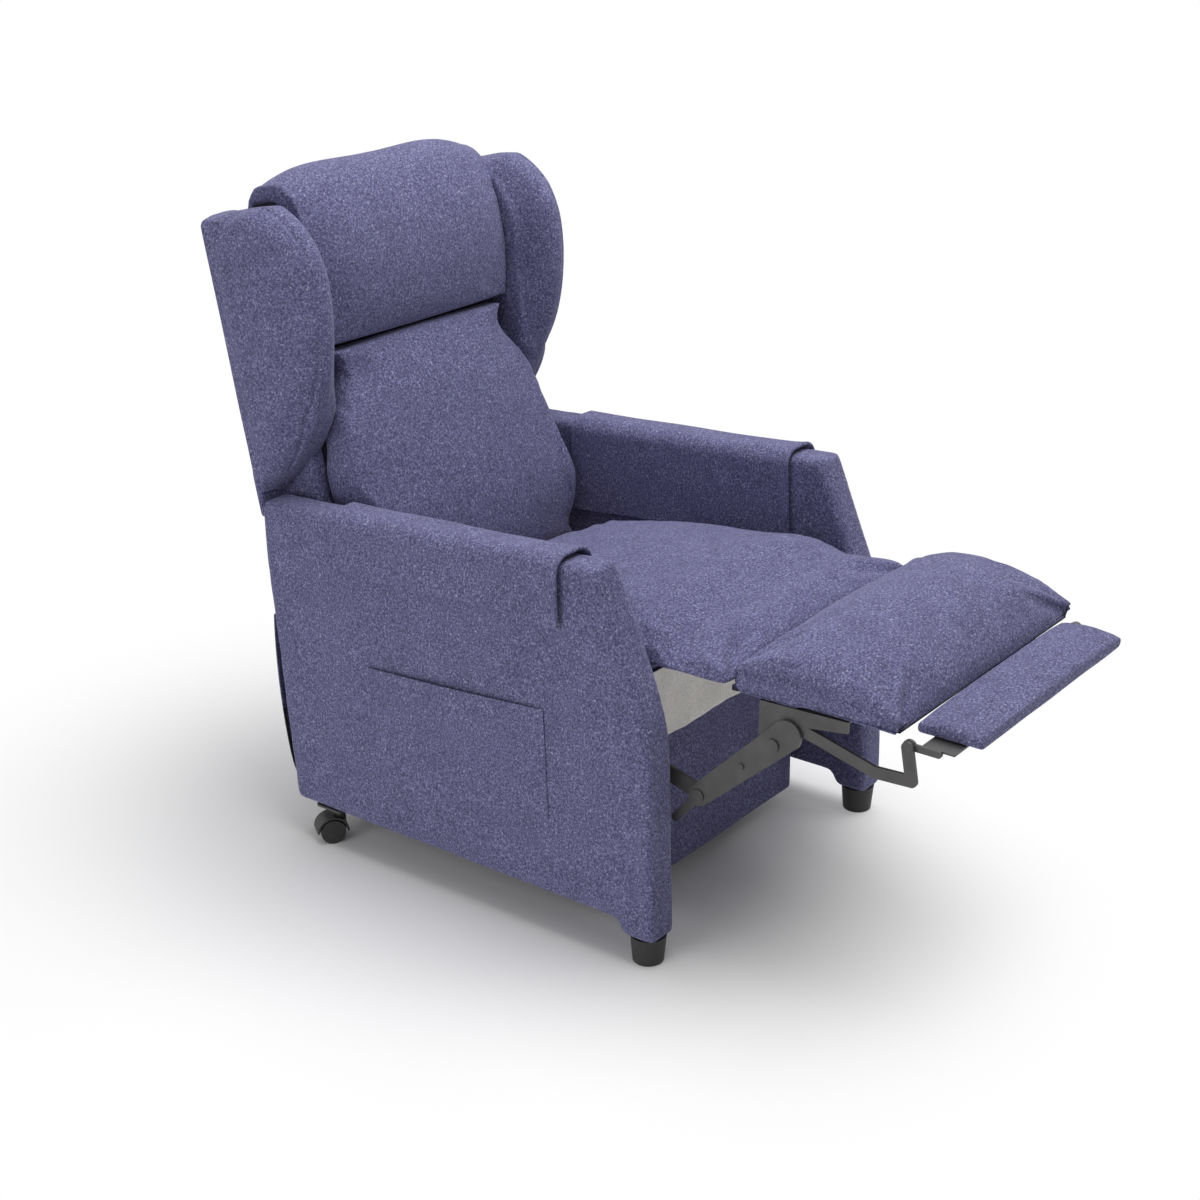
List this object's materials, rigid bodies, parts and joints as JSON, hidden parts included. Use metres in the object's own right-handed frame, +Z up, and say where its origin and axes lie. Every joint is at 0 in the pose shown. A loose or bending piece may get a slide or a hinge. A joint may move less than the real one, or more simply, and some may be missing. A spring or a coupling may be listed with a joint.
{
  "type": "lift recliner",
  "caption": "Wing-backed powered lift recliner with a reclining back, a fold-out leg rest with a foot flap, an arm pocket and a tilting lift base.",
  "frame": {"origin": "on the floor below the middle of the chair's outer box, with the leg rest out", "axes": "+Z up; -Y towards the chair's front, along the leg rest; +X to the sitter's left"},
  "size_m": [0.7078, 1.3384, 1.0942],
  "materials": {
    "upholstery": "blue-violet flecked wool cloth, matte",
    "lining": "cream lining cloth, matte",
    "timber": "unfinished plywood and beech",
    "dark_steel": "dark grey paint, satin",
    "bright_steel": "zinc-plated, satin",
    "black_plastic": "moulded, matte",
    "rubber": "matte"
  },
  "bodies": {
    "base": {"base_rail_left": "dark_steel", "base_rail_right": "dark_steel", "base_cross_front": "dark_steel", "base_cross_rear": "dark_steel", "floor_pads": "rubber"},
    "lift_front_links": {"lift_link_front_left": "dark_steel", "lift_link_front_right": "dark_steel", "lift_tube": "dark_steel"},
    "lift_rear_links": {"lift_link_rear_left": "dark_steel", "lift_link_rear_right": "dark_steel"},
    "lift_actuator": {"lift_actuator": "black_plastic"},
    "lift_rod": {"lift_rod": "bright_steel"},
    "chair": {"arm_cover_left": "upholstery", "arm_cover_right": "upholstery", "arm_frame_left": "timber", "arm_frame_right": "timber", "arm_cap_left": "upholstery", "arm_cap_right": "upholstery", "side_pocket": "upholstery", "front_feet": "black_plastic", "arm_bolts": "bright_steel", "castor_plates": "dark_steel", "cross_tube_front": "dark_steel", "cross_tube_rear": "dark_steel", "seat_deck": "timber", "seat_front_rail": "timber", "seat_cushion": "upholstery", "seat_rail_left": "dark_steel", "seat_rail_right": "dark_steel", "apron": "upholstery", "front_lining": "lining", "control_box": "black_plastic", "rear_rail": "timber", "drop_cloth": "upholstery", "hinge_leaf_seat": "dark_steel", "leg_actuator": "black_plastic"},
    "back": {"back_frame": "timber", "back_rear_panel": "upholstery", "lumbar_cushion": "upholstery", "head_pillow": "upholstery", "wing_left": "upholstery", "wing_right": "upholstery"},
    "recline_actuator": {"recline_actuator": "black_plastic"},
    "recline_rod": {"recline_rod": "bright_steel"},
    "leg_rest": {"leg_board": "timber", "bridge_pad": "upholstery", "leg_pad": "upholstery", "hinge_leaf_bridge": "dark_steel", "ottoman_brackets": "dark_steel"},
    "foot_flap": {"foot_flap": "upholstery", "flap_brackets": "dark_steel"},
    "leg_links": {"leg_link_left": "dark_steel", "leg_link_right": "dark_steel", "leg_tube": "dark_steel"},
    "leg_plates": {"leg_plates": "dark_steel"},
    "leg_rod": {"leg_rod": "bright_steel"},
    "castor_fork_left": {"castor_fork_left": "black_plastic"},
    "castor_wheels_left": {"castor_wheels_left": "black_plastic"},
    "castor_fork_right": {"castor_fork_right": "black_plastic"},
    "castor_wheels_right": {"castor_wheels_right": "black_plastic"}
  },
  "joints": [
    {"name": "lift", "type": "hinge", "parent": "base", "child": "lift_front_links", "pos_m": [0, 0.04, 0.057], "axis": [1, 0, 0], "range_deg": [0, 50]},
    {"name": "chair_tilt", "type": "hinge", "parent": "lift_front_links", "child": "chair", "pos_m": [0, 0.32978, 0.13465], "axis": [1, 0, 0], "range_deg": [-30.02, 0]},
    {"name": "rear_link_swing", "type": "hinge", "parent": "base", "child": "lift_rear_links", "pos_m": [0, 0.09195, 0.06481], "axis": [1, 0, 0], "range_deg": [0, 45.38]},
    {"name": "lift_actuator_swing", "type": "hinge", "parent": "base", "child": "lift_actuator", "pos_m": [0, 0.455, 0.064], "axis": [1, 0, 0], "range_deg": [-2.36, 0]},
    {"name": "lift_rod_stroke", "type": "slide", "parent": "lift_actuator", "child": "lift_rod", "axis": [0, -0.9957, 0.093], "range_m": [0, 0.04821]},
    {"name": "back_recline", "type": "hinge", "parent": "chair", "child": "back", "pos_m": [0, 0.42, 0.33], "axis": [-1, 0, 0], "range_deg": [0, 32]},
    {"name": "recline_actuator_swing", "type": "hinge", "parent": "chair", "child": "recline_actuator", "pos_m": [0, 0.115, 0.262], "axis": [1, 0, 0], "range_deg": [0, 1.09]},
    {"name": "recline_rod_stroke", "type": "slide", "parent": "recline_actuator", "child": "recline_rod", "axis": [0, 0.9971, -0.0757], "range_m": [-0.04969, 0]},
    {"name": "leg_rest_fold", "type": "hinge", "parent": "chair", "child": "leg_rest", "pos_m": [0, -0.165, 0.456], "axis": [1, 0, 0], "range_deg": [0, 92]},
    {"name": "flap_fold", "type": "hinge", "parent": "leg_rest", "child": "foot_flap", "pos_m": [0, -0.578, 0.452], "axis": [1, 0, 0], "range_deg": [0, 175.02]},
    {"name": "leg_link_swing", "type": "hinge", "parent": "chair", "child": "leg_links", "pos_m": [0, -0.04, 0.34], "axis": [1, 0, 0], "range_deg": [0, 91.99]},
    {"name": "leg_plate_swing", "type": "hinge", "parent": "leg_rest", "child": "leg_plates", "pos_m": [0, -0.37, 0.398], "axis": [1, 0, 0], "range_deg": [-91.09, 0]},
    {"name": "leg_rod_stroke", "type": "slide", "parent": "chair", "child": "leg_rod", "axis": [0, -0.9993, 0.038], "range_m": [-0.04037, 0]},
    {"name": "castor_swivel_left", "type": "hinge", "parent": "chair", "child": "castor_fork_left", "pos_m": [0.31, 0.452, 0.068], "axis": [0, 0, 1], "continuous": true},
    {"name": "castor_roll_left", "type": "hinge", "parent": "castor_fork_left", "child": "castor_wheels_left", "pos_m": [0.32147, 0.46003, 0.021], "axis": [-0.5736, 0.8192, 0], "continuous": true},
    {"name": "castor_swivel_right", "type": "hinge", "parent": "chair", "child": "castor_fork_right", "pos_m": [-0.31, 0.452, 0.068], "axis": [0, 0, 1], "continuous": true},
    {"name": "castor_roll_right", "type": "hinge", "parent": "castor_fork_right", "child": "castor_wheels_right", "pos_m": [-0.32147, 0.46003, 0.021], "axis": [-0.5736, -0.8192, 0], "continuous": true}
  ],
  "couplings": [
    {"joint": "chair_tilt", "follows": "lift", "ratio": -0.6},
    {"joint": "rear_link_swing", "follows": "lift", "ratio": 0.90711},
    {"joint": "lift_actuator_swing", "follows": "lift", "ratio": -0.046851},
    {"joint": "lift_rod_stroke", "follows": "lift", "m_per_rad": 0.055125},
    {"joint": "recline_actuator_swing", "follows": "back_recline", "ratio": 0.033373},
    {"joint": "recline_rod_stroke", "follows": "back_recline", "m_per_rad": -0.088796},
    {"joint": "flap_fold", "follows": "leg_rest_fold", "ratio": 1.9022},
    {"joint": "leg_link_swing", "follows": "leg_rest_fold", "ratio": 0.99967},
    {"joint": "leg_plate_swing", "follows": "leg_rest_fold", "ratio": -0.98993},
    {"joint": "leg_rod_stroke", "follows": "leg_rest_fold", "m_per_rad": -0.025081}
  ]
}
